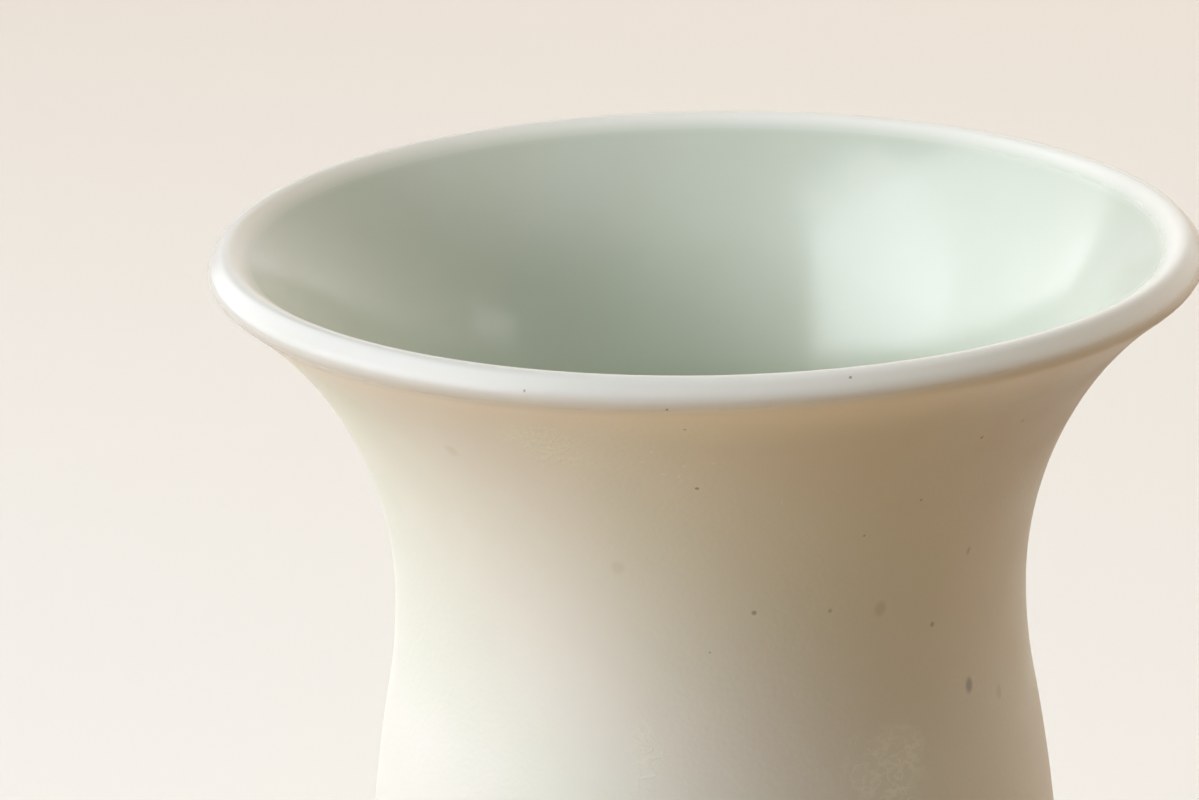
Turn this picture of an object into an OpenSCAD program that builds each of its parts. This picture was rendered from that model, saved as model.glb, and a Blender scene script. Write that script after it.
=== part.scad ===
// Small porcelain vase with a flared mouth, turned in three sections that are joined
// with slip and then glazed. The axis is Z and the foot stands on Z = 0. Millimetres.

/* [Overall] */
// Outer diameter across the lip
mouth_d = 100; // [84:0.5:125]
// Height from the foot to the top of the lip
height = 110; // [92:0.5:150]

/* [Profile] */
// Outer diameter at the waist, the narrowest place
waist_d = 64.8; // [54:0.1:78]
// Lean of the wall from upright where the lip begins, in degrees
flare_angle = 53.5; // [45:0.5:62]
// How far the belly stands out beyond the waist
belly_swell = 4; // [2:0.1:10]
// Height of the belly's widest line
belly_z = 30; // [24:0.5:40]
// Share of the drop from waist to belly in which the wall still curves outwards
waist_share = 0.25; // [0.15:0.01:0.6]

/* [Foot] */
// Outer diameter where the belly meets the foot
foot_d = 54; // [44:0.5:65]
// Height of the foot
foot_h = 4; // [2.5:0.1:6]
// Width of the foot ring at its top
foot_w = 4.5; // [3.5:0.1:7]
// How far each side of the foot ring leans in towards its tread
foot_lean = 0.5; // [0:0.1:0.8]
// Bevel along both edges of the tread
foot_bevel = 0.6; // [0.2:0.1:0.8]

/* [Wall] */
// Thickness of the porcelain wall
wall = 2.9; // [2:0.1:4]
// Thickness of the porcelain floor
floor_t = 4.5; // [3:0.1:6]
// Diameter of the flat of the floor, inside
floor_flat_d = 40; // [30:0.5:50]
// Thickness of each coat of glaze
coat = 0.4; // [0.3:0.05:0.7]
// Thickness of the slip in each joint
slip = 0.4; // [0.3:0.05:0.8]
// Height of the bare band between the foot and the outer glaze
glaze_line = 1; // [0.5:0.1:3]
// Clearance round the edge of the glaze under the floor
base_glaze_gap = 0.3; // [0.1:0.1:1]

/* [Lip] */
// Radius of the bead along the lip's lower edge
lip_bead = 1; // [0.6:0.05:1.2]
// Radius of the roll along the lip's upper, inner edge
lip_roll = 0.9; // [0.6:0.05:1.3]
// How far the bead and the roll stand out beyond the faces of the wall
lip_bulge = 0.05; // [0.05:0.05:0.3]
// Length of wall behind the lip that the white coat covers
lip_band = 1.8; // [1.7:0.1:5]

/* [Hidden] */
$fn = 240;

porcelain = "#ece8dd";
slip_clay = "#d9d2c3";
celadon = "#b4bea6";
satin_white = "#e4dfd0";
lip_white = "#eeeee9";

// Worked-out sizes are kept to a thousandth of a millimetre.
function thousandth(size) = round(size * 1000) / 1000;

mouth_r = mouth_d / 2;
waist_r = waist_d / 2;
belly_r = waist_r + belly_swell;
foot_r = foot_d / 2;
floor_flat_r = floor_flat_d / 2;

// Depths are measured from the glazed outside of the vase into the wall.
clay_out = coat;
clay_in = coat + wall;
glaze_in = coat + wall + coat;
bead_depth = clay_out + lip_bead - lip_bulge;
roll_depth = clay_in - lip_roll + lip_bulge;

// The outside is four arcs, each running smoothly into the next.
// The flare is upright at the waist and ends where the lip just reaches the mouth's radius.
bead_out = lip_bead + coat - bead_depth * cos(flare_angle);
roll_out = lip_roll + coat - roll_depth * cos(flare_angle);
flare_reach = mouth_r - waist_r - max(bead_out, roll_out);
flare_radius = thousandth(flare_reach / (1 - cos(flare_angle)));
flare_rise = (flare_radius + roll_depth) * sin(flare_angle) + lip_roll + coat;
waist_z = thousandth(height - flare_rise);
flare_centre = [waist_r + flare_radius, waist_z];

// Below the waist a hollow arc turns into a full one, and both end upright. Their circles
// lap by a hair, so that they cross at a clear point instead of only touching.
turn_lap = 0.02;
waist_drop = waist_z - belly_z;
turn_square = pow(belly_swell, 2) + pow(waist_drop, 2) - pow(turn_lap, 2);
turn_radii = thousandth(turn_square / (2 * (belly_swell - turn_lap)));
turn_angle = asin(waist_drop / (turn_radii - turn_lap));
hollow_radius = thousandth(waist_share * turn_radii);
hollow_centre = [waist_r + hollow_radius, waist_z];
shoulder_radius = turn_radii - hollow_radius;
shoulder_centre = [belly_r - shoulder_radius, belly_z];

// The bowl of the belly runs from its widest line down to the foot.
bowl_in = belly_r - foot_r;
bowl_drop = belly_z - foot_h;
bowl_radius = thousandth((pow(bowl_in, 2) + pow(bowl_drop, 2)) / (2 * bowl_in));
bowl_centre = [belly_r - bowl_radius, belly_z];

// The inside of the bowl is rounder and leaves more clay near the foot.
floor_z = foot_h + floor_t;
inside_in = belly_r - clay_in - floor_flat_r;
inside_drop = belly_z - floor_z;
inside_radius = thousandth((pow(inside_in, 2) + pow(inside_drop, 2)) / (2 * inside_in));
inside_centre = [belly_r - clay_in - inside_radius, belly_z];

// The foot ring carries on from the bare clay above it.
clay_foot_r = thousandth(bowl_centre[0] + sqrt(pow(bowl_radius - clay_out, 2) - pow(bowl_drop, 2)));
foot_top = foot_h - slip;
foot_in_r = clay_foot_r - foot_w;

// The white coat of the lip starts a little way down the flare.
white_angle = flare_angle - lip_band / flare_radius * 180 / PI;

// Point of the flare at a depth in the wall and an angle above the waist
function flare_point(depth, angle) =
    flare_centre + (flare_radius + depth) * [-cos(angle), sin(angle)];

// Everything between two heights, to cut a section out of the outline
module between(low, high) {
    translate([0, low]) square([mouth_r, high - low]);
}

// Strip of the flare between two depths, from the waist up to an angle
module flare_strip(depth_from, depth_to, top_angle) {
    beyond = flare_radius;
    intersection() {
        translate(flare_centre)
            difference() {
                circle(flare_radius + depth_to);
                circle(flare_radius + depth_from);
            }
        polygon([flare_centre, flare_point(beyond, 0), flare_point(beyond, top_angle)]);
    }
}

// Everything inside a depth of the wall, from the waist down to the belly's widest line
module waist_space(depth) {
    turn_z = thousandth(waist_z - (hollow_radius + depth) * sin(turn_angle));
    difference() {
        union() {
            between(turn_z, waist_z);
            intersection() {
                translate(shoulder_centre) circle(shoulder_radius - depth);
                between(belly_z, turn_z);
            }
        }
        translate(hollow_centre) circle(hollow_radius + depth);
    }
}

// Wall from the waist down to the belly's widest line, between two depths
module waist_strip(depth_from, depth_to) {
    difference() {
        waist_space(depth_from);
        waist_space(depth_to);
    }
}

// Flared mouth with the roll and the bead of its lip, bare or with a skin of glaze on both sides
module mouth_outline(skin) {
    flare_strip(clay_out - skin, clay_in + skin, flare_angle);
    translate(flare_point(bead_depth, flare_angle)) circle(lip_bead + skin);
    translate(flare_point(roll_depth, flare_angle)) circle(lip_roll + skin);
}

// Space inside the bowl, down to the floor, less a skin of glaze
module bowl_space(skin) {
    spare = 1;
    intersection() {
        translate(inside_centre) circle(inside_radius - skin);
        between(floor_z + skin, belly_z + spare);
    }
}

// All the porcelain above the foot
module clay_outline() {
    mouth_outline(0);
    waist_strip(clay_out, clay_in);
    difference() {
        intersection() {
            translate(bowl_centre) circle(bowl_radius - clay_out);
            between(foot_h, belly_z);
        }
        bowl_space(0);
    }
}

// Section of the porcelain between two level cuts
module clay_section(low, high) {
    rotate_extrude()
        intersection() {
            clay_outline();
            between(low, high);
        }
}

module foot_ring() {
    tread_out = clay_foot_r - foot_lean;
    tread_in = foot_in_r + foot_lean;
    color(porcelain)
        rotate_extrude()
            polygon([
                [foot_in_r, foot_top],
                [tread_in, foot_bevel],
                [tread_in + foot_bevel, 0],
                [tread_out - foot_bevel, 0],
                [tread_out, foot_bevel],
                [clay_foot_r, foot_top]
            ]);
}

module lower_body() {
    color(porcelain) clay_section(foot_h, belly_z - slip / 2);
}

module upper_body() {
    color(porcelain) clay_section(belly_z + slip / 2, waist_z - slip / 2);
}

module mouth() {
    color(porcelain) clay_section(waist_z + slip / 2, height);
}

module foot_slip() {
    color(slip_clay)
        rotate_extrude()
            translate([foot_in_r, foot_top]) square([foot_w, slip]);
}

module belly_slip() {
    color(slip_clay) clay_section(belly_z - slip / 2, belly_z + slip / 2);
}

module waist_slip() {
    color(slip_clay) clay_section(waist_z - slip / 2, waist_z + slip / 2);
}

module inner_glaze() {
    color(celadon)
        rotate_extrude() {
            flare_strip(clay_in, glaze_in, white_angle);
            waist_strip(clay_in, glaze_in);
            intersection() {
                difference() {
                    bowl_space(0);
                    bowl_space(coat);
                }
                between(floor_z, belly_z);
            }
        }
}

module outer_glaze() {
    color(satin_white)
        rotate_extrude() {
            flare_strip(0, clay_out, white_angle);
            waist_strip(0, clay_out);
            intersection() {
                translate(bowl_centre)
                    difference() {
                        circle(bowl_radius);
                        circle(bowl_radius - clay_out);
                    }
                between(foot_h + glaze_line, belly_z);
            }
        }
}

module lip_glaze() {
    color(lip_white)
        rotate_extrude()
            difference() {
                mouth_outline(coat);
                mouth_outline(0);
                flare_strip(0, glaze_in, white_angle);
            }
}

module base_glaze() {
    color(celadon)
        translate([0, 0, foot_h - coat])
            cylinder(h = coat, r = foot_in_r - base_glaze_gap);
}

foot_ring();
lower_body();
upper_body();
mouth();
foot_slip();
belly_slip();
waist_slip();
inner_glaze();
outer_glaze();
lip_glaze();
base_glaze();
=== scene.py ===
import math

import bmesh
import bpy
import numpy as np
from mathutils import Matrix, Vector


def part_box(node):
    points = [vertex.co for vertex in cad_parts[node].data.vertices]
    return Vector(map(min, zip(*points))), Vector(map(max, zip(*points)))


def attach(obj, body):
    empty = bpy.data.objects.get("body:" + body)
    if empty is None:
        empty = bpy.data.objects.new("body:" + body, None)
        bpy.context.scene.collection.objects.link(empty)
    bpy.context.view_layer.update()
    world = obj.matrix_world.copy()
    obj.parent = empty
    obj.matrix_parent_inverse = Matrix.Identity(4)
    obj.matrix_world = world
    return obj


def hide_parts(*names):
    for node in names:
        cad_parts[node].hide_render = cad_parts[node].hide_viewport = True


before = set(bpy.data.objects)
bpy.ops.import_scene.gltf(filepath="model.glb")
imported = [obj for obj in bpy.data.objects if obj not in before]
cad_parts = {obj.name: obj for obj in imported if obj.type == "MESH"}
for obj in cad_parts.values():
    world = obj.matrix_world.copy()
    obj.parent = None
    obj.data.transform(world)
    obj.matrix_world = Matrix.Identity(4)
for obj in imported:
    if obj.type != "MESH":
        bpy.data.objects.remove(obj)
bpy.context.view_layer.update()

# A small porcelain vase with a flared mouth. Its coats of glaze and its foot ring are turned again
# as fine meshes. The clay and the slip under the glaze keep their CAD shapes.
MM = 0.001

# Sizes that the frame gives, in metres. The vase is round about Z and stands on Z = 0.
MOUTH_R = min(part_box("lip_glaze")[1].x, -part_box("lip_glaze")[0].x)
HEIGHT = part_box("lip_glaze")[1].z
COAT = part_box("base_glaze")[1].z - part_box("base_glaze")[0].z
FOOT_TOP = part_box("foot_ring")[1].z
FOOT_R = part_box("foot_ring")[1].x
FOOT_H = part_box("foot_slip")[1].z
BASE_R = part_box("base_glaze")[1].x
GLAZE_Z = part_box("outer_glaze")[0].z
FLOOR_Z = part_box("inner_glaze")[0].z
BELLY_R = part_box("belly_slip")[1].x + COAT
BELLY_Z = (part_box("belly_slip")[0].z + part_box("belly_slip")[1].z) / 2
WAIST_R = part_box("waist_slip")[1].x + COAT
WAIST_Z = (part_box("waist_slip")[0].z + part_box("waist_slip")[1].z) / 2

# Sizes of the profile that the frame's boxes don't show
WALL = 2.9 * MM
FLARE_ANGLE = 53.5
WAIST_SHARE = 0.25
BOWL_FOOT_R = 27 * MM
FLOOR_FLAT_R = 20 * MM
POOL_R = 6 * MM
FOOT_W = 4.5 * MM
FOOT_LEAN = 0.5 * MM
FOOT_BEVEL = 0.6 * MM
LIP_BEAD = 1.0 * MM
LIP_ROLL = 0.9 * MM
LIP_BULGE = 0.05 * MM
LIP_BAND = 1.8 * MM

# Depths run from the glazed outside into the wall.
GLAZE_IN = COAT + WALL + COAT
BEAD_DEPTH = COAT + LIP_BEAD - LIP_BULGE
ROLL_DEPTH = COAT + WALL - LIP_ROLL + LIP_BULGE
FLARE_COS = math.cos(math.radians(FLARE_ANGLE))
FLARE_R = (MOUTH_R - WAIST_R - LIP_BEAD - COAT + BEAD_DEPTH * FLARE_COS) / (1 - FLARE_COS)
FLARE_CENTRE = (WAIST_R + FLARE_R, WAIST_Z)
WHITE_ANGLE = FLARE_ANGLE - math.degrees(LIP_BAND / FLARE_R)

# Fineness of the turned surfaces, and how widely their creases are rounded
TURNS = 360
FINE_STEP = 0.05 * MM
COAT_STEP = 0.5 * MM
BACK_STEP = 2 * MM
LIP_STEP = 0.14 * MM
FOOT_STEP = 0.12 * MM
BASE_STEP = 0.2 * MM
EDGE_STEPS = 7
SOFT_CREASE = 0.45 * MM
SOFT_FOOT = 0.12 * MM
SOFT_BASE = 0.05 * MM
SHARP_ANGLE = 40

# Small unevenness of hand work: wheel marks on the inside and the wave of the glaze line above the
# foot. The white of the lip ends lower on the left than on the right, by a slope.
WHEEL_PITCH = 4.5 * MM
WHEEL_DEPTH = 0.008 * MM
GLAZE_WAVE = 0.5 * MM
WHITE_SLANT = 0.035

# Linear colours
SATIN_PALE = (0.89, 0.92, 0.88, 1)
SATIN_GREEN = (0.83, 0.89, 0.815, 1)
# Buff up the flare: partly the glaze's own colour, partly painted warm bounce light and painted shade
# on the right side
BUFF_FLUSH_AND_PAINTED_SHADE = (0.45, 0.37, 0.265, 1)
# Painted light just under the lip, strongest on the left
UNDER_LIP_PAINTED_LIGHT = (0.95, 0.93, 0.87, 1)
CELADON_LIGHT = (0.63, 0.685, 0.60, 1)
CELADON_DEEP = (0.46, 0.54, 0.39, 1)
LIP_WHITE = (0.89, 0.895, 0.84, 1)
# Painted shade and light across the lip: greyer on the left, under the key light, and whiter on the
# right, in the shade
LIP_GREY_PAINTED_SHADE = (0.715, 0.725, 0.69, 1)
CLAY_PALE = (0.80, 0.76, 0.68, 1)
CLAY_TOAST = (0.62, 0.45, 0.30, 1)
SLIP_GREY = (0.66, 0.62, 0.54, 1)
IRON = (0.10, 0.065, 0.04, 1)
COBALT = (0.12, 0.15, 0.20, 1)
OLIVE = (0.42, 0.40, 0.26, 1)
# Near-white dots that are painted glints of light
PAINTED_GLINT = (0.95, 0.94, 0.88, 1)
# Pale ridges of the wrinkled patches: partly a paler glaze, partly painted glints of light
WRINKLE_PALE_AND_GLINT = (0.87, 0.93, 0.84, 1)

# Refraction of the glazes, the clay and the floor
GLAZE_IOR = 1.5
CELADON_IOR = 1.75
CLAY_IOR = 1.45
FLOOR_IOR = 1.3

# Specks in the glaze of the outside: degrees round from the front, height and half width in mm,
# stretch in height, colour and strength
SPECKS = (
    (-2.6, 104.2, 0.16, 1.0, IRON, 0.55),
    (39.6, 98.0, 0.22, 1.0, IRON, 0.6),
    (47.0, 98.5, 0.22, 2.2, IRON, 0.35),
    (33.4, 91.6, 0.18, 1.0, IRON, 0.5),
    (24.6, 88.6, 0.16, 1.0, IRON, 0.4),
    (48.5, 83.4, 0.25, 2.5, IRON, 0.3),
    (7.2, 81.2, 0.28, 1.0, IRON, 0.55),
    (20.3, 80.6, 0.24, 1.0, IRON, 0.32),
    (29.8, 79.8, 0.7, 1.3, OLIVE, 0.35),
    (41.6, 76.5, 0.28, 1.0, IRON, 0.48),
    (51.4, 68.5, 0.6, 1.5, COBALT, 0.5),
    (61.0, 66.0, 0.6, 1.4, COBALT, 0.16),
    (-14.7, 86.2, 0.7, 1.2, OLIVE, 0.14),
    (-36.7, 97.9, 0.8, 1.2, OLIVE, 0.14),
    # Painted glints: tiny near-white dots under the front of the lip
    (10.4, 93.9, 0.14, 1.0, PAINTED_GLINT, 0.6),
    (-7.0, 100.9, 0.16, 1.0, PAINTED_GLINT, 0.9),
    (-8.4, 99.5, 0.15, 1.0, PAINTED_GLINT, 0.8),
    (-5.9, 97.9, 0.16, 1.0, PAINTED_GLINT, 0.9),
    (-3.1, 99.0, 0.18, 1.0, PAINTED_GLINT, 0.9),
    (-3.9, 97.6, 0.16, 1.0, PAINTED_GLINT, 0.8),
    (0.7, 99.3, 0.15, 1.0, PAINTED_GLINT, 0.7),
)
LIP_SPECKS = (
    (-19.5, 108.4, 0.16, 1.0, IRON, 0.7),
    (-4.2, 107.2, 0.16, 1.0, IRON, 0.7),
    (15.4, 109.3, 0.16, 1.0, IRON, 0.7),
)

# Patches of wrinkled glaze: degrees round from the front, height and half width in mm, and stretch
# in height
WRINKLES = (
    (-21.0, 101.3, 5.0, 0.8),
    (-11.2, 66.0, 1.8, 2.4),
    (31.3, 63.0, 5.2, 1.0),
)

# The floor and the room, as they are seen and by the light that they throw
FLOOR_SEEN = (0.94, 0.955, 0.935, 1)
FLOOR_BOUNCE = (0.60, 0.43, 0.245, 1)
HORIZON_SEEN = (0.93, 0.92, 0.90, 1)
CEILING_SEEN_LEFT = (0.36, 0.36, 0.33, 1)
CEILING_SEEN_RIGHT = (0.05, 0.05, 0.045, 1)
HORIZON_LIGHT = (0, 0, 0, 1)
CEILING_LIGHT = (0.05, 0.05, 0.05, 1)

# Colours of the lamps
DAYLIGHT = (0.93, 0.95, 1)
NEUTRAL = (1, 1, 0.95)
WARM = (1, 0.74, 0.55)

# Use of a lamp: whether it lights the surfaces, and whether glossy ones mirror it
LIGHT_AND_MIRRORED = (True, True)
LIGHT_ONLY = (True, False)
MIRRORED_ONLY = (False, True)

# Lamps: name, place from the middle of the mouth, facing, width and height, brightness, colour and
# use. The key light and its mirror image are lamps of their own, so that each has its own
# brightness. The image stands a little nearer, because a lamp in its plane would hide it.
LAMPS = (
    ("key", (-1, -0.45, 0.56), (1, 0, 0), (1.2, 0.7), 6.55, DAYLIGHT, LIGHT_ONLY),
    ("key_image", (-0.98, -0.45, 0.755), (1, 0, 0), (1.2, 1.69), 2.7, DAYLIGHT, MIRRORED_ONLY),
    ("key_high", (-1, -0.45, 2.1), (1, 0, 0), (1.2, 1.0), 1.7, DAYLIGHT, LIGHT_AND_MIRRORED),
    ("wing_near", (-1, 0.3, 0.86), (1, 0, 0), (0.3, 1.9), 1.85, DAYLIGHT, MIRRORED_ONLY),
    ("wing_mid", (-1, 0.625, 0.86), (1, 0, 0), (0.35, 1.9), 1.8, DAYLIGHT, MIRRORED_ONLY),
    ("wing_far", (-1, 1.2, 0.86), (1, 0, 0), (0.8, 1.9), 1.55, DAYLIGHT, MIRRORED_ONLY),
    ("right_image", (1.3, -0.1, 0.55), (-1.3, 0.1, -0.55), (0.4, 0.16), 0.9, DAYLIGHT, MIRRORED_ONLY),
    ("top", (0, 0, 1.5), (0, 0, -1), (1.6, 1.6), 0.5, NEUTRAL, LIGHT_ONLY),
    ("top_right", (0.45, 0, 1.2), (-0.45, 0, -1.2), (0.7, 0.7), 2.5, NEUTRAL, LIGHT_ONLY),
    ("right_fill", (1.4, 0.6, 0.5), (-1.4, -0.6, -0.5), (1.8, 1.2), 1.15, WARM, LIGHT_ONLY),
    ("back_fill", (0, 1.3, 0.5), (0, -1.3, -0.5), (2.0, 1.2), 1.2, WARM, LIGHT_ONLY),
)


# Profile of the vase, in the plane of radius and height

def arc(centre, radius, start, end):
    """Points along an arc, angles in degrees."""
    length = abs(math.radians(end - start)) * radius
    turned = np.radians(np.linspace(start, end, max(3, round(length / FINE_STEP))))
    return np.array(centre) + radius * np.column_stack((np.cos(turned), np.sin(turned)))


def upright_arc_radius(aside, run):
    """Radius of an arc that starts upright and moves aside over a height of run."""
    return (aside**2 + run**2) / (2 * aside)


def flare_point(depth, angle):
    """Point of the flared wall at a depth and at an angle above the waist."""
    turned = math.radians(angle)
    outward = np.array((-math.cos(turned), math.sin(turned)))
    return np.array(FLARE_CENTRE) + (FLARE_R + depth) * outward


def waist_to_belly(depth):
    """Hollow arc under the waist and the full arc that follows it, from the top down."""
    aside, run = BELLY_R - WAIST_R, WAIST_Z - BELLY_Z
    radii = upright_arc_radius(aside, run)
    hollow = WAIST_SHARE * radii
    full = radii - hollow
    turn = math.degrees(math.asin(run / radii))
    return np.vstack((
        arc((WAIST_R + hollow, WAIST_Z), hollow + depth, 180, 180 + turn),
        arc((BELLY_R - full, BELLY_Z), full - depth, turn, 0),
    ))


def outside_line():
    """Glazed outside, from the glaze line above the foot up to the bead of the lip."""
    radius = upright_arc_radius(BELLY_R - BOWL_FOOT_R, BELLY_Z - FOOT_H)
    start = -math.degrees(math.asin((BELLY_Z - GLAZE_Z) / radius))
    return np.vstack((
        arc((BELLY_R - radius, BELLY_Z), radius, start, 0),
        waist_to_belly(0)[::-1],
        arc(FLARE_CENTRE, FLARE_R, 180, 180 - FLARE_ANGLE),
    ))


def lip_line():
    """Bead of the lip and the roll above it, which run into the wall and meet in a groove."""
    bead, roll = BEAD_DEPTH, GLAZE_IN - ROLL_DEPTH
    groove_depth = (ROLL_DEPTH**2 - roll**2) / (2 * (ROLL_DEPTH - BEAD_DEPTH))
    bead_to = math.degrees(math.acos((BEAD_DEPTH - groove_depth) / bead))
    roll_from = math.degrees(math.acos((ROLL_DEPTH - groove_depth) / roll))
    low = flare_point(BEAD_DEPTH, FLARE_ANGLE)
    high = flare_point(ROLL_DEPTH, FLARE_ANGLE)
    return np.vstack((
        arc(low, bead, -FLARE_ANGLE, bead_to - FLARE_ANGLE),
        arc(high, roll, roll_from - FLARE_ANGLE, 180 - FLARE_ANGLE),
    ))


def inside_line():
    """Glazed inside, from the lip down to the middle of the floor, where the glaze pools."""
    floor = FLOOR_Z + COAT
    radius = upright_arc_radius(BELLY_R - COAT - WALL - FLOOR_FLAT_R, BELLY_Z - FLOOR_Z)
    centre = (BELLY_R - COAT - WALL - radius, BELLY_Z)
    inner = radius - COAT
    pool_z = floor + POOL_R
    pool_turn = math.asin((BELLY_Z - pool_z) / (inner - POOL_R))
    pool_r = centre[0] + (inner - POOL_R) * math.cos(pool_turn)
    return np.vstack((
        arc(FLARE_CENTRE, FLARE_R + GLAZE_IN, 180 - FLARE_ANGLE, 180),
        waist_to_belly(GLAZE_IN),
        arc(centre, inner, 0, -math.degrees(pool_turn)),
        arc((pool_r, pool_z), POOL_R, -math.degrees(pool_turn), -90),
        ((0, floor),),
    ))


def foot_line():
    """Closed outline of the foot ring, from its outer top edge inwards and round the tread."""
    inner = FOOT_R - FOOT_W
    tread_in, tread_out = inner + FOOT_LEAN, FOOT_R - FOOT_LEAN
    return np.array((
        (FOOT_R, FOOT_TOP),
        (inner, FOOT_TOP),
        (tread_in, FOOT_BEVEL),
        (tread_in + FOOT_BEVEL, 0),
        (tread_out - FOOT_BEVEL, 0),
        (tread_out, FOOT_BEVEL),
        (FOOT_R, FOOT_TOP),
    ))


class Profile:
    """A line in the plane of radius and height, read by the length run along it."""

    def __init__(self, points, soft):
        run = np.append(0, np.cumsum(np.linalg.norm(np.diff(points, axis=0), axis=1)))
        keep = np.append(True, np.diff(run) > 0)
        self.length = run[-1]
        self.run = np.linspace(0, self.length, round(self.length / FINE_STEP))
        self.line = np.column_stack([np.interp(self.run, run[keep], points[keep, k]) for k in (0, 1)])
        self.soften(soft)

    def soften(self, width):
        """Rounds the creases by a running mean, and leaves both ends where they are."""
        reach = round(3 * width / FINE_STEP)
        weights = np.exp(-0.5 * (np.arange(-reach, reach + 1) * FINE_STEP / width) ** 2)
        weights /= weights.sum()
        for k in (0, 1):
            line = self.line[:, k]
            before = 2 * line[0] - line[reach:0:-1]
            after = 2 * line[-1] - line[-2:-reach - 2:-1]
            self.line[:, k] = np.convolve(np.concatenate((before, line, after)), weights, "valid")

    def at(self, run):
        """Radius and height at a length along the line."""
        return [np.interp(run, self.run, self.line[:, k]) for k in (0, 1)]

    def nearest(self, point):
        """Length along the line at which it comes nearest to a point."""
        return self.run[np.argmin(np.linalg.norm(self.line - point, axis=1))]


# Turned meshes

def steps(start, end, step):
    """Even steps from start to end, each about as long as step."""
    return np.linspace(start, end, max(2, round(abs(end - start) / step) + 1))


def skin(profile, runs, depth=0.0):
    """Surface turned from a profile, as one row of points per run, let into the wall by a depth."""
    around = np.linspace(0, 2 * math.pi, TURNS, endpoint=False)
    run = np.broadcast_to(runs.reshape(len(runs), -1), (len(runs), TURNS))
    radius, height = profile.at(run)
    after, before = profile.at(run + FINE_STEP), profile.at(run - FINE_STEP)
    ahead_r, ahead_z = after[0] - before[0], after[1] - before[1]
    ahead = np.hypot(ahead_r, ahead_z)
    radius = radius - depth * ahead_z / ahead
    height = height + depth * ahead_r / ahead
    return np.stack((radius * np.cos(around), radius * np.sin(around), height), axis=-1)


def stack(*parts):
    """Rows of a piece in one array, and which of them show, from pairs of rows and True or False."""
    rows = np.concatenate([part for part, show in parts])
    shown = np.concatenate([np.full(len(part), show) for part, show in parts])
    return rows, shown


def bake_heights(rows, shown, closed):
    """Place of each row up the bake map. Steps between rows that don't show are squeezed."""
    squeeze = 0.06
    order = np.append(np.arange(len(rows)), 0) if closed else np.arange(len(rows))
    line = np.column_stack((np.hypot(rows[order, 0, 0], rows[order, 0, 1]), rows[order, 0, 2]))
    both = shown[order][:-1] & shown[order][1:]
    lengths = np.linalg.norm(np.diff(line, axis=0), axis=1) * np.where(both, 1, squeeze)
    run = np.append(0, np.cumsum(lengths))
    return run / run[-1]


def close_poles(mesh):
    """Joins the points that lie together on the axis, which leaves a fan of triangles there."""
    near, together = 0.01 * MM, 0.02 * MM
    work = bmesh.new()
    work.from_mesh(mesh)
    on_axis = [v for v in work.verts if math.hypot(v.co.x, v.co.y) < near]
    bmesh.ops.remove_doubles(work, verts=on_axis, dist=together)
    work.to_mesh(mesh)
    work.free()


def lathe(name, rows, shown, closed=True):
    """Turned solid whose rows form a loop, or run from one point of the axis to another."""
    column = np.arange(TURNS)
    beside = (column + 1) % TURNS
    left, right = column / TURNS, (column + 1) / TURNS
    heights = bake_heights(rows, shown, closed)
    faces, corners = [], []
    for i in range(len(heights) - 1):
        here, there = i * TURNS, (i + 1) % len(rows) * TURNS
        faces.append(np.column_stack((here + column, here + beside, there + beside, there + column)))
        low, high = np.full(TURNS, heights[i]), np.full(TURNS, heights[i + 1])
        corners.append(np.column_stack((left, low, right, low, right, high, left, high)))
    mesh = bpy.data.meshes.new(name)
    mesh.from_pydata(rows.reshape(-1, 3).tolist(), [], np.vstack(faces).tolist())
    bake_map = mesh.uv_layers.new(name="OFBake")
    bake_map.uv.foreach_set("vector", np.vstack(corners).astype(np.float32).ravel())
    mesh.polygons.foreach_set("use_smooth", np.ones(len(mesh.polygons), bool))
    if not closed:
        close_poles(mesh)
    mesh.set_sharp_from_angle(angle=math.radians(SHARP_ANGLE))
    piece = bpy.data.objects.new(name, mesh)
    bpy.context.scene.collection.objects.link(piece)
    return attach(piece, "root")


def finish_piece(piece, material, node):
    """Gives a turned piece its finish, and puts it in the place of its CAD node."""
    piece.data.materials.append(material)
    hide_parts(node)


def wave(seed):
    """A gentle uneven wave round the vase, from 0 to 1: the sum of a few sines."""
    waves_round = (2, 3, 5, 8)
    around = np.linspace(0, 2 * math.pi, TURNS, endpoint=False)
    picker = np.random.default_rng(seed)
    height = sum(np.sin(k * around + picker.uniform(0, 2 * math.pi)) / k for k in waves_round)
    return (height - height.min()) / np.ptp(height)


def with_wavy_start(runs, start, top):
    """The runs at every place round the vase: the first is moved by start there, the top one isn't."""
    return runs[:, None] + start * (1 - runs[:, None] / top)


def make_outside(profile, top):
    """Coat on the outside. Its lower edge is rolled and runs a little unevenly round the foot."""
    edge = COAT * (1 - np.cos(np.linspace(0, math.pi / 2, EDGE_STEPS)))
    runs = np.concatenate((edge, steps(COAT, top, COAT_STEP)[1:]))
    edge_depth = 0.85 * COAT
    depth = edge_depth * (1 - np.sqrt(1 - np.clip(1 - runs / COAT, 0, 1) ** 2))
    start = GLAZE_WAVE * wave(seed=3)
    face = skin(profile, with_wavy_start(runs, start, top), depth[:, None])
    back = skin(profile, with_wavy_start(steps(top, 0, BACK_STEP), start, top), COAT)
    rows, shown = stack((face, True), (back, False))
    piece = lathe("outside_coat", rows, shown)
    finish_piece(piece, satin_glaze(), "outer_glaze")


def make_lip(profile, low, high):
    """White coat over the bead and the roll of the lip."""
    face = skin(profile, steps(low, high, LIP_STEP))
    back = skin(profile, steps(high, low, LIP_STEP), COAT)
    rows, shown = stack((face, True), (back, False))
    piece = lathe("lip_coat", rows, shown)
    finish_piece(piece, white_glaze(), "lip_glaze")


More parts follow.
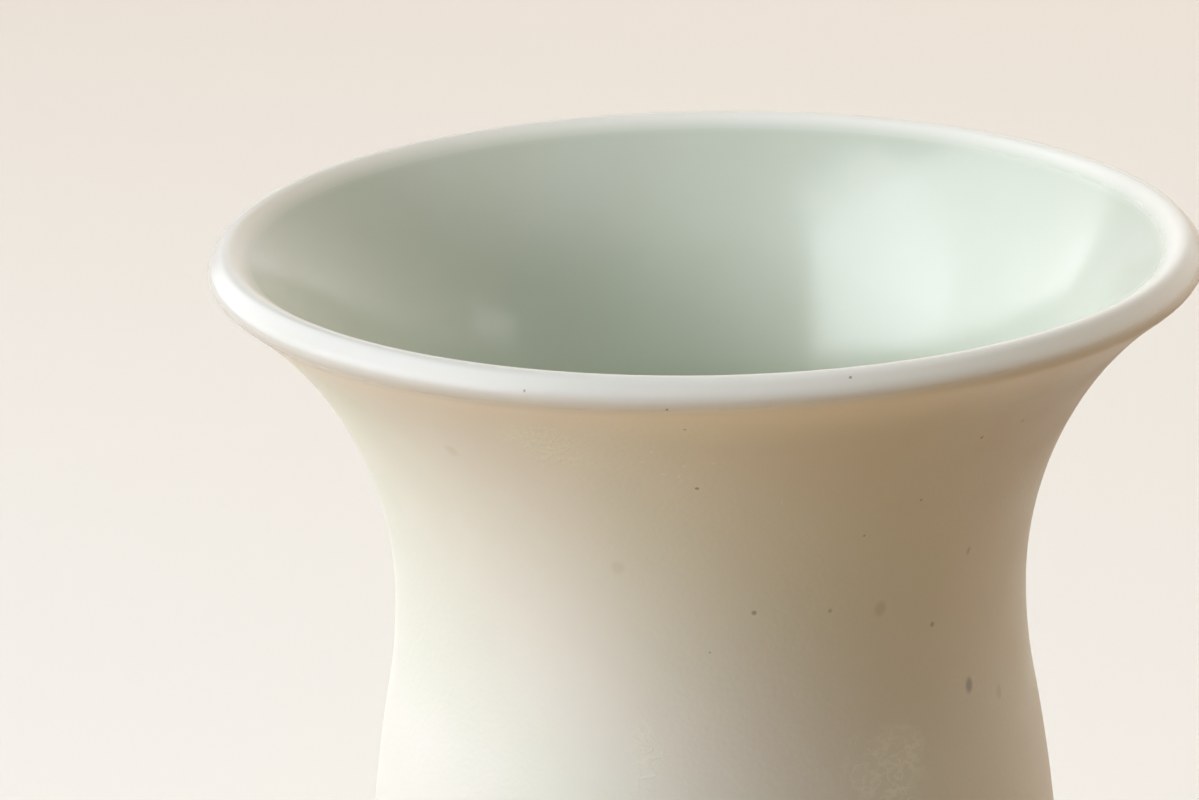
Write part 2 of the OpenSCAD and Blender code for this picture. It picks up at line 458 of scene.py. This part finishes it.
def make_inside(profile, top):
    """Glossy coat on the inside, with faint wheel marks left in the wall under it."""
    runs = steps(top, profile.length, COAT_STEP)
    turn_share = np.linspace(0, 1, TURNS, endpoint=False)
    marks = 0.5 - 0.5 * np.cos(2 * math.pi * (runs[:, None] / WHEEL_PITCH - turn_share))
    clear = 8 * MM
    fade = np.clip((runs - top) / clear, 0, 1) * np.clip((profile.length - runs) / clear, 0, 1)
    face = skin(profile, runs, WHEEL_DEPTH * marks * fade[:, None])
    back = skin(profile, steps(profile.length, top, BACK_STEP), COAT)
    rows, shown = stack((back, False), (face, True))
    piece = lathe("inside_coat", rows, shown, closed=False)
    finish_piece(piece, celadon_glaze(), "inner_glaze")


def make_foot():
    """Bare foot ring with edges that were wiped round with a sponge."""
    profile = Profile(foot_line(), SOFT_FOOT)
    runs = steps(0, profile.length, FOOT_STEP)[:-1]
    rows, shown = stack((skin(profile, runs), True))
    piece = lathe("turned_foot", rows, shown)
    finish_piece(piece, biscuit(), "foot_ring")


def make_base():
    """Glaze under the floor, inside the foot ring, with a rolled edge."""
    low = FOOT_H - COAT
    edge = arc((BASE_R - COAT / 2, FOOT_H - COAT / 2), COAT / 2, 90, -90)
    profile = Profile(np.vstack(((0, FOOT_H), edge, (0, low))), SOFT_BASE)
    rows, shown = stack((skin(profile, steps(0, profile.length, BASE_STEP)), True))
    piece = lathe("base_coat", rows, shown, closed=False)
    finish_piece(piece, base_glaze(), "base_glaze")


# Materials

class Shader:
    """Node tree of a new material, or of the world, with short calls that add nodes to it."""

    def __init__(self, name, world=None):
        self.material = world or bpy.data.materials.new(name)
        self.material.use_nodes = True
        self.tree = self.material.node_tree
        self.surface = self.tree.nodes.get("Principled BSDF")
        self.point = self.add("ShaderNodeTexCoord", output="Generated" if world else "Object")

    def put(self, socket, value):
        """Links a socket to another one, or sets it to a constant."""
        if isinstance(value, bpy.types.NodeSocket):
            self.tree.links.new(value, socket)
        else:
            socket.default_value = value

    def add(self, kind, inputs=(), output=0, **settings):
        """Adds a node with its settings and inputs, and gives one of its outputs."""
        node = self.tree.nodes.new(kind)
        for name, value in settings.items():
            setattr(node, name, value)
        for name, value in dict(inputs).items():
            self.put(node.inputs[name], value)
        return node.outputs[output]

    def maths(self, operation, first, second=0.0):
        return self.add("ShaderNodeMath", {0: first, 1: second}, operation=operation)

    def plus(self, first, second):
        return self.maths("ADD", first, second)

    def minus(self, first, second):
        return self.maths("SUBTRACT", first, second)

    def times(self, first, second):
        return self.maths("MULTIPLY", first, second)

    def vector(self, operation, first, second=(0, 0, 0), output="Vector"):
        return self.add("ShaderNodeVectorMath", {0: first, 1: second}, output, operation=operation)

    def smooth(self, value, span, to=(0.0, 1.0)):
        """Runs smoothly from one number to another while the value goes through a span."""
        names = ("Value", "From Min", "From Max", "To Min", "To Max")
        inputs = dict(zip(names, (value, *span, *to)))
        return self.add("ShaderNodeMapRange", inputs, interpolation_type="SMOOTHSTEP")

    def mix(self, share, first, second):
        """Colour between two others, by the share of the second."""
        inputs = {"Factor": share, "A": first, "B": second}
        node = self.tree.nodes.new("ShaderNodeMix")
        node.data_type = "RGBA"
        for socket in node.inputs:
            if socket.type == "RGBA" or (socket.name == "Factor" and socket.type == "VALUE"):
                self.put(socket, inputs[socket.name])
        return next(socket for socket in node.outputs if socket.type == "RGBA")

    def noise(self, size, detail=2.0, stretch=(1, 1, 1)):
        """Noise whose spots are about one size across, from 0 to 1."""
        place = self.vector("MULTIPLY", self.point, stretch)
        inputs = {"Vector": place, "Scale": 1 / size, "Detail": detail}
        return self.add("ShaderNodeTexNoise", inputs, output="Fac")

    def part(self, axis):
        """The point's coordinate along an axis."""
        return self.add("ShaderNodeSeparateXYZ", {0: self.point}, output=axis)

    def radius(self):
        """The point's distance from the axis of the vase."""
        flat = self.vector("MULTIPLY", self.point, (1, 1, 0))
        return self.vector("LENGTH", flat, output="Value")

    def from_flare_centre(self):
        """How far the point lies above the centre of the flare's arc, and how far inward of it."""
        rise = self.minus(self.part("Z"), WAIST_Z)
        inward = self.minus(FLARE_CENTRE[0], self.radius())
        return rise, inward

    def up_the_wall(self):
        """Length along the flare from the lip, which is 0 at the lip and below 0 under it."""
        turned = self.maths("ARCTAN2", *self.from_flare_centre())
        return self.times(self.minus(turned, math.radians(FLARE_ANGLE)), FLARE_R)

    def depth_in_wall(self):
        """Depth from the glazed outside of the flare."""
        rise, inward = self.from_flare_centre()
        squares = self.plus(self.maths("POWER", rise, 2.0), self.maths("POWER", inward, 2.0))
        return self.minus(self.maths("SQRT", squares), FLARE_R)

    def bump(self, height, strength, distance):
        inputs = {"Height": height, "Strength": strength, "Distance": distance}
        self.put(self.surface.inputs["Normal"], self.add("ShaderNodeBump", inputs, output="Normal"))

    def finish(self, colour, roughness, ior):
        self.put(self.surface.inputs["Base Color"], colour)
        self.put(self.surface.inputs["Roughness"], roughness)
        self.surface.inputs["IOR"].default_value = ior
        return self.material


def outside_place(turned, height):
    """Point of the outside above the belly, by degrees round from the front and a height in mm."""
    profile = np.vstack((outside_line(), lip_line()))
    above = profile[:, 1] > BELLY_Z
    radius = np.interp(height * MM, profile[above, 1], profile[above, 0])
    turned = math.radians(turned)
    return (radius * math.sin(turned), -radius * math.cos(turned), height * MM)


def distance_from(shader, point, place, stretch):
    """Distance of a point from a place, with heights divided by a stretch."""
    away = shader.vector("SUBTRACT", point, place)
    away = shader.vector("MULTIPLY", away, (1, 1, 1 / stretch))
    return shader.vector("LENGTH", away, output="Value")


def add_specks(shader, colour, specks):
    """Paints soft round or drawn-out specks, with slightly uneven edges, at their places."""
    uneven, grain = 0.15 * MM, 0.4 * MM
    inputs = {"Vector": shader.point, "Scale": 1 / grain}
    shift = shader.add("ShaderNodeTexNoise", inputs, output="Color")
    shift = shader.vector("SUBTRACT", shift, (0.5, 0.5, 0.5))
    point = shader.vector("ADD", shader.point, shader.vector("MULTIPLY", shift, (uneven,) * 3))
    for turned, height, half, stretch, paint, strength in specks:
        distance = distance_from(shader, point, outside_place(turned, height), stretch)
        core, rim = 0.4 * half * MM, 1.3 * half * MM
        share = shader.smooth(distance, (core, rim), (strength, 0.0))
        colour = shader.mix(share, colour, paint)
    return colour


def add_fine_specks(shader, colour, cell, strength):
    """Scatters a few tiny specks: one near the middle of some of the cells."""
    cells = {"Vector": shader.point, "Scale": 1 / cell}
    distance = shader.add("ShaderNodeTexVoronoi", cells, output="Distance")
    lot = shader.add("ShaderNodeTexVoronoi", cells, output="Color")
    lot = shader.add("ShaderNodeSeparateColor", {0: lot}, output="Red")
    size = shader.smooth(lot, (0.55, 1.0), (0.0, 0.03))
    share = shader.times(shader.maths("LESS_THAN", distance, size), strength)
    return shader.mix(share, colour, IRON)


def satin_colour(shader):
    """Pale satin glaze, flushed buff up the flare, partly its own colour and partly painted warm
    bounce light, with painted shade to the right and painted light under the lip.
    """
    along = shader.up_the_wall()
    across = shader.part("X")
    clouds = shader.noise(26 * MM)
    colour = shader.mix(shader.smooth(clouds, (0.35, 0.7)), SATIN_PALE, SATIN_GREEN)
    rising = shader.smooth(along, (-45 * MM, -4 * MM), (0.45, 1.0))
    # Painted shade: the buff grows towards the right, the side away from the key light
    painted_shade_right = shader.smooth(across, (-15 * MM, 45 * MM), (0.1, 1.0))
    cloudy = shader.smooth(clouds, (0.2, 0.8), (1.0, 0.7))
    flush_and_painted_shade = shader.times(shader.times(rising, painted_shade_right), cloudy)
    colour = shader.mix(flush_and_painted_shade, colour, BUFF_FLUSH_AND_PAINTED_SHADE)
    # Painted light: the glaze turns lighter just under the lip, most of all on the left, against the
    # shade of the bead
    near_lip = shader.smooth(along, (-9 * MM, -0.5 * MM))
    painted_light_under_lip = shader.times(near_lip, shader.smooth(across, (-10 * MM, 40 * MM), (0.75, 0.3)))
    return shader.mix(painted_light_under_lip, colour, UNDER_LIP_PAINTED_LIGHT)


def orange_peel(shader):
    """Fine dimples of a satin glaze."""
    fine = shader.noise(0.55 * MM, detail=1.0)
    broad = shader.noise(2.4 * MM, detail=1.0)
    broad_height = 0.8
    return shader.plus(fine, shader.times(broad, broad_height))


def wrinkle_share(shader):
    """Where the satin glaze wrinkled: 1 in the patches and 0 around them, with ragged edges."""
    edge = shader.noise(2.5 * MM)
    total = 0.0
    for turned, height, half, stretch in WRINKLES:
        distance = distance_from(shader, shader.point, outside_place(turned, height), stretch)
        ragged = shader.plus(distance, shader.times(edge, half * MM))
        core, rim = half * MM, 1.6 * half * MM
        share = shader.smooth(ragged, (core, rim), (1.0, 0.0))
        total = shader.maths("MAXIMUM", total, share)
    return total


def wrinkle_ridges(shader):
    """Winding ridges, less than a millimetre apart: 1 along them and 0 between them."""
    winding = shader.noise(0.9 * MM, stretch=(0.7, 0.7, 1))
    away = shader.maths("ABSOLUTE", shader.minus(winding, 0.5))
    return shader.smooth(away, (0.0, 0.09), (1.0, 0.0))


def satin_glaze():
    """Satin glaze of the outside, with its specks and wrinkled patches. Some near-white specks are
    painted glints, and the pale ridges of the patches are partly painted glints.
    """
    shader = Shader("satin_glaze")
    colour = add_fine_specks(shader, satin_colour(shader), cell=9 * MM, strength=0.5)
    wrinkled = wrinkle_share(shader)
    ridges = wrinkle_ridges(shader)
    # The ridges of the wrinkled patches are partly a paler glaze and partly painted glints
    pale = shader.times(wrinkled, shader.smooth(ridges, (0.0, 1.0), (0.25, 0.8)))
    colour = shader.mix(pale, colour, WRINKLE_PALE_AND_GLINT)
    colour = add_specks(shader, colour, SPECKS)
    roughness = shader.smooth(shader.noise(6 * MM), (0.3, 0.7), (0.40, 0.50))
    ridge_height = 1.2
    relief = shader.times(shader.times(ridges, wrinkled), ridge_height)
    shader.bump(shader.plus(orange_peel(shader), relief), strength=0.35, distance=0.06 * MM)
    return shader.finish(colour, roughness, GLAZE_IOR)


def white_glaze():
    """White on the bead and the roll, with painted shade on the left and painted light on the right,
    running into the outside and the inside colours.
    """
    shader = Shader("white_glaze")
    across = shader.part("X")
    depth = shader.depth_in_wall()
    level = shader.plus(depth, shader.up_the_wall())
    level = shader.minus(level, shader.times(across, WHITE_SLANT))
    outside = shader.smooth(level, (1.6 * MM, -1.1 * MM))
    inside = shader.smooth(depth, (GLAZE_IN - 0.6 * MM, GLAZE_IN))
    # Painted shade and light: the lip is greyer on the left and whiter on the right, which evens out
    # its shading
    white = shader.mix(shader.smooth(across, (-40 * MM, 40 * MM)), LIP_GREY_PAINTED_SHADE, LIP_WHITE)
    colour = shader.mix(outside, white, satin_colour(shader))
    colour = shader.mix(inside, colour, celadon_colour(shader))
    colour = add_specks(shader, colour, LIP_SPECKS)
    gloss = shader.smooth(shader.noise(4 * MM), (0.3, 0.7), (0.20, 0.25))
    satin_rougher = 0.22
    roughness = shader.plus(gloss, shader.times(outside, satin_rougher))
    shader.bump(shader.noise(0.9 * MM), strength=0.15, distance=0.05 * MM)
    return shader.finish(colour, roughness, GLAZE_IOR)


def celadon_colour(shader):
    """Pale celadon, a deeper green lower down the throat, and white at the lip."""
    rise = shader.smooth(shader.part("Z"), (WAIST_Z - 25 * MM, HEIGHT - 2 * MM))
    colour = shader.mix(rise, CELADON_DEEP, CELADON_LIGHT)
    clouds = shader.smooth(shader.noise(18 * MM), (0.3, 0.7), (0.0, 0.2))
    colour = shader.mix(clouds, colour, CELADON_DEEP)
    rings = shader.noise(3.2 * MM, detail=1.0, stretch=(0.06, 0.06, 1))
    colour = shader.mix(shader.smooth(rings, (0.4, 0.7), (0.0, 0.12)), colour, CELADON_LIGHT)
    to_white = shader.smooth(shader.up_the_wall(), (-2.5 * MM, 0.0))
    return shader.mix(to_white, colour, LIP_WHITE)


def celadon_glaze():
    """Glossy glaze of the inside."""
    shader = Shader("celadon_glaze")
    roughness = shader.smooth(shader.noise(9 * MM), (0.3, 0.7), (0.16, 0.21))
    shader.bump(shader.noise(1.6 * MM, detail=1.0), strength=0.08, distance=0.05 * MM)
    return shader.finish(celadon_colour(shader), roughness, CELADON_IOR)


def base_glaze():
    """Glaze of the underside, cloudy and speckled."""
    shader = Shader("base_glaze")
    clouds = shader.smooth(shader.noise(7 * MM), (0.3, 0.7))
    colour = shader.mix(clouds, CELADON_LIGHT, SATIN_GREEN)
    colour = add_fine_specks(shader, colour, cell=5 * MM, strength=0.6)
    roughness = shader.smooth(clouds, (0.0, 1.0), (0.18, 0.25))
    shader.bump(orange_peel(shader), strength=0.3, distance=0.06 * MM)
    return shader.finish(colour, roughness, GLAZE_IOR)


def biscuit():
    """Bare clay, toasted darker along the glaze line and worn pale on the tread."""
    shader = Shader("biscuit")
    toast = shader.smooth(shader.part("Z"), (0.4 * MM, FOOT_TOP))
    toast = shader.times(toast, shader.smooth(shader.noise(5 * MM), (0.25, 0.75), (0.3, 0.9)))
    grain = shader.smooth(shader.noise(0.35 * MM, detail=3.0), (0.35, 0.65), (0.0, 0.25))
    colour = shader.mix(grain, shader.mix(toast, CLAY_PALE, CLAY_TOAST), CLAY_TOAST)
    colour = add_fine_specks(shader, colour, cell=3.5 * MM, strength=0.7)
    roughness = shader.smooth(grain, (0.0, 0.25), (0.72, 0.88))
    shader.bump(shader.noise(0.3 * MM, detail=4.0), strength=0.5, distance=0.08 * MM)
    return shader.finish(colour, roughness, CLAY_IOR)


def clay(name, first, second, spot):
    """Fired clay under the glaze, with spots of a second colour."""
    shader = Shader(name)
    share = shader.smooth(shader.noise(spot, detail=4.0), (0.3, 0.7))
    roughness = shader.smooth(share, (0.0, 1.0), (0.7, 0.85))
    shader.bump(shader.noise(0.3 * MM, detail=3.0), strength=0.4, distance=0.06 * MM)
    return shader.finish(shader.mix(share, first, second), roughness, CLAY_IOR)


def wear(piece, material):
    """Gives a CAD piece one material in place of its own."""
    piece.data.materials.clear()
    piece.data.materials.append(material)


def finish_clay_nodes():
    """The sections and the slip between them keep their CAD shapes."""
    bare = clay("bare_porcelain", CLAY_PALE, CLAY_TOAST, spot=4 * MM)
    slip = clay("joining_slip", SLIP_GREY, CLAY_PALE, spot=2 * MM)
    for node in ("lower_body", "upper_body", "mouth"):
        wear(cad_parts[node], bare)
    for node in ("foot_slip", "belly_slip", "waist_slip"):
        wear(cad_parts[node], slip)


def make_vase():
    """All pieces of the vase. One profile runs from the foot over the lip to the floor inside."""
    profile = Profile(np.vstack((outside_line(), lip_line(), inside_line())), SOFT_CREASE)
    outer_end = profile.nearest(flare_point(0, WHITE_ANGLE))
    inner_start = profile.nearest(flare_point(GLAZE_IN, WHITE_ANGLE))
    make_outside(profile, outer_end)
    make_lip(profile, outer_end, inner_start)
    make_inside(profile, inner_start)
    make_foot()
    make_base()
    finish_clay_nodes()


# Camera, stage and light

def place_camera():
    """Camera where the photograph was taken: a long lens, a little above the mouth."""
    place = Vector((0, -444.8, 236.9)) * MM
    pitch, yaw, roll = 18.025, -1.41, 1.32
    focal_px, frame_px = 4600, 1199
    data = bpy.data.cameras.new("camera")
    data.sensor_width = 36
    data.lens = focal_px / frame_px * data.sensor_width
    data.clip_start = 0.01
    camera = bpy.data.objects.new("camera", data)
    turn = Matrix.Rotation(math.radians(-yaw), 4, "Z")
    tip = Matrix.Rotation(math.radians(90 - pitch), 4, "X")
    lean = Matrix.Rotation(math.radians(-roll), 4, "Z")
    camera.matrix_world = Matrix.Translation(place) @ turn @ tip @ lean
    bpy.context.scene.collection.objects.link(camera)
    bpy.context.scene.camera = camera


def seen_directly(shader):
    """1 for what the camera sees, straight or by reflection, and 0 for light that bounces."""
    kinds = ("Camera", "Glossy", "Transmission")
    rays = [shader.add("ShaderNodeLightPath", output=f"Is {kind} Ray") for kind in kinds]
    return shader.maths("MAXIMUM", shader.maths("MAXIMUM", rays[0], rays[1]), rays[2])


def make_floor():
    """Plain pale floor that throws warm light back up."""
    reach = 5.0
    work = bmesh.new()
    bmesh.ops.create_circle(work, cap_ends=True, radius=reach, segments=96)
    mesh = bpy.data.meshes.new("floor")
    work.to_mesh(mesh)
    work.free()
    floor = bpy.data.objects.new("floor", mesh)
    bpy.context.scene.collection.objects.link(floor)
    shader = Shader("floor")
    colour = shader.mix(seen_directly(shader), FLOOR_BOUNCE, FLOOR_SEEN)
    mesh.materials.append(shader.finish(colour, roughness=0.9, ior=FLOOR_IOR))


def make_room():
    """Faint light from above, and a room for the glaze to mirror: pale low down and dimmer above."""
    world = bpy.data.worlds.new("room")
    bpy.context.scene.world = world
    shader = Shader("room", world)
    high = shader.smooth(shader.part("Z"), (0.1, 0.7))
    light = shader.mix(high, HORIZON_LIGHT, CEILING_LIGHT)
    to_the_left = (-0.8, -0.6, 0)
    side = shader.vector("DOT_PRODUCT", shader.point, to_the_left, output="Value")
    ceiling = shader.mix(shader.smooth(side, (-0.5, 0.5)), CEILING_SEEN_RIGHT, CEILING_SEEN_LEFT)
    seen = shader.mix(high, HORIZON_SEEN, ceiling)
    colour = shader.mix(seen_directly(shader), light, seen)
    shader.put(world.node_tree.nodes["Background"].inputs["Color"], colour)


def area_light(name, place, facing, size, brightness, colour, use):
    """Lamp with a rectangular face, whose brightness is 1 where it would show as white."""
    data = bpy.data.lights.new(name, "AREA")
    data.shape = "RECTANGLE"
    data.size, data.size_y = size
    data.energy = brightness * math.pi * size[0] * size[1]
    data.color = colour
    lamp = bpy.data.objects.new(name, data)
    turn = facing.to_track_quat("-Z", "Y").to_matrix().to_4x4()
    lamp.matrix_world = Matrix.Translation(place) @ turn
    lamp.visible_camera = False
    lamp.visible_diffuse, lamp.visible_glossy = use
    bpy.context.scene.collection.objects.link(lamp)


def make_light():
    """Soft key light from the left, what the glossy glaze mirrors of it, and soft fills."""
    mouth = Vector((0, 0, HEIGHT))
    for name, place, facing, size, brightness, colour, use in LAMPS:
        area_light(name, mouth + Vector(place), Vector(facing), size, brightness, colour, use)
    make_room()


place_camera()
make_vase()
make_floor()
make_light()
bpy.context.scene.view_settings.view_transform = "Standard"
